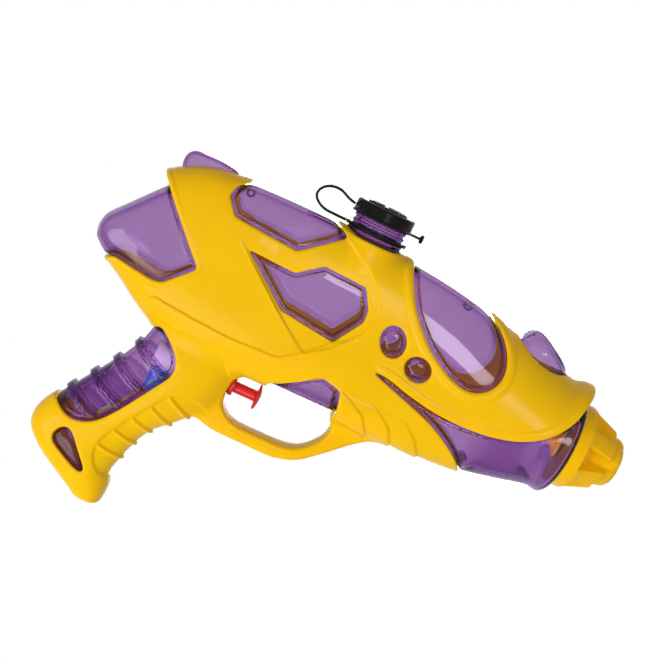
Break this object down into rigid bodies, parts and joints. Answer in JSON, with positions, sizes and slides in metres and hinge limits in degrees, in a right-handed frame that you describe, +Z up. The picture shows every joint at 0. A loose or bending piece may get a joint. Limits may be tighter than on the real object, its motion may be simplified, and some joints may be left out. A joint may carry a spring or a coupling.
{
  "type": "toy water pistol",
  "caption": "Hand-pumped toy water pistol: clear hollow tank under an open cover, pistol grip with guard, push-button trigger pump, ribbed nozzle and tethered filler cap.",
  "frame": {"origin": "mouth of the jet hole, on the barrel axis at the muzzle", "axes": "+X forward out of the muzzle, +Y to the left, +Z up, grip down"},
  "size_m": [0.286, 0.0584, 0.2004],
  "materials": {
    "clear_tank": "clear gloss",
    "cover": "satin gloss",
    "black_cap": "gloss",
    "trigger_red": "gloss",
    "valve_blue": "gloss",
    "milky": "milky",
    "seal_rubber": "matte",
    "steel": "plain"
  },
  "bodies": {
    "gun": {"tank_right": "clear_tank", "tank_left": "clear_tank", "cover_right": "cover", "cover_left": "cover", "cover_screws": "steel", "filler_neck": "clear_tank", "tether_ring": "black_cap", "tether_strap": "black_cap", "nozzle": "cover", "nozzle_washer": "seal_rubber", "pump_cylinder": "milky", "rod_guide": "trigger_red", "return_spring": "steel", "inlet_valve": "valve_blue", "outlet_elbow": "valve_blue", "suction_tube": "milky", "outlet_hose": "milky"},
    "trigger": {"trigger": "trigger_red", "piston_seal": "seal_rubber"},
    "cap": {"filler_cap": "black_cap"},
    "inlet_ball": {"inlet_ball": "steel"},
    "outlet_ball": {"outlet_ball": "steel"}
  },
  "joints": [
    {"name": "trigger_pull", "type": "slide", "parent": "gun", "child": "trigger", "axis": [-1, 0, 0], "range_m": [0, 0.011], "stiffness_N_per_m": 250, "springref_m": -0.008, "deforming": ["return_spring"]},
    {"name": "cap_swing", "type": "hinge", "parent": "gun", "child": "cap", "pos_m": [-0.19, 0, 0.0605], "axis": [0, -1, 0], "range_deg": [0, 135], "deforming": ["tether_strap"]},
    {"name": "inlet_lift", "type": "slide", "parent": "gun", "child": "inlet_ball", "axis": [0, 0, 1], "range_m": [0, 0.0012]},
    {"name": "outlet_lift", "type": "slide", "parent": "gun", "child": "outlet_ball", "axis": [0, 0, 1], "range_m": [0, 0.0012]}
  ]
}
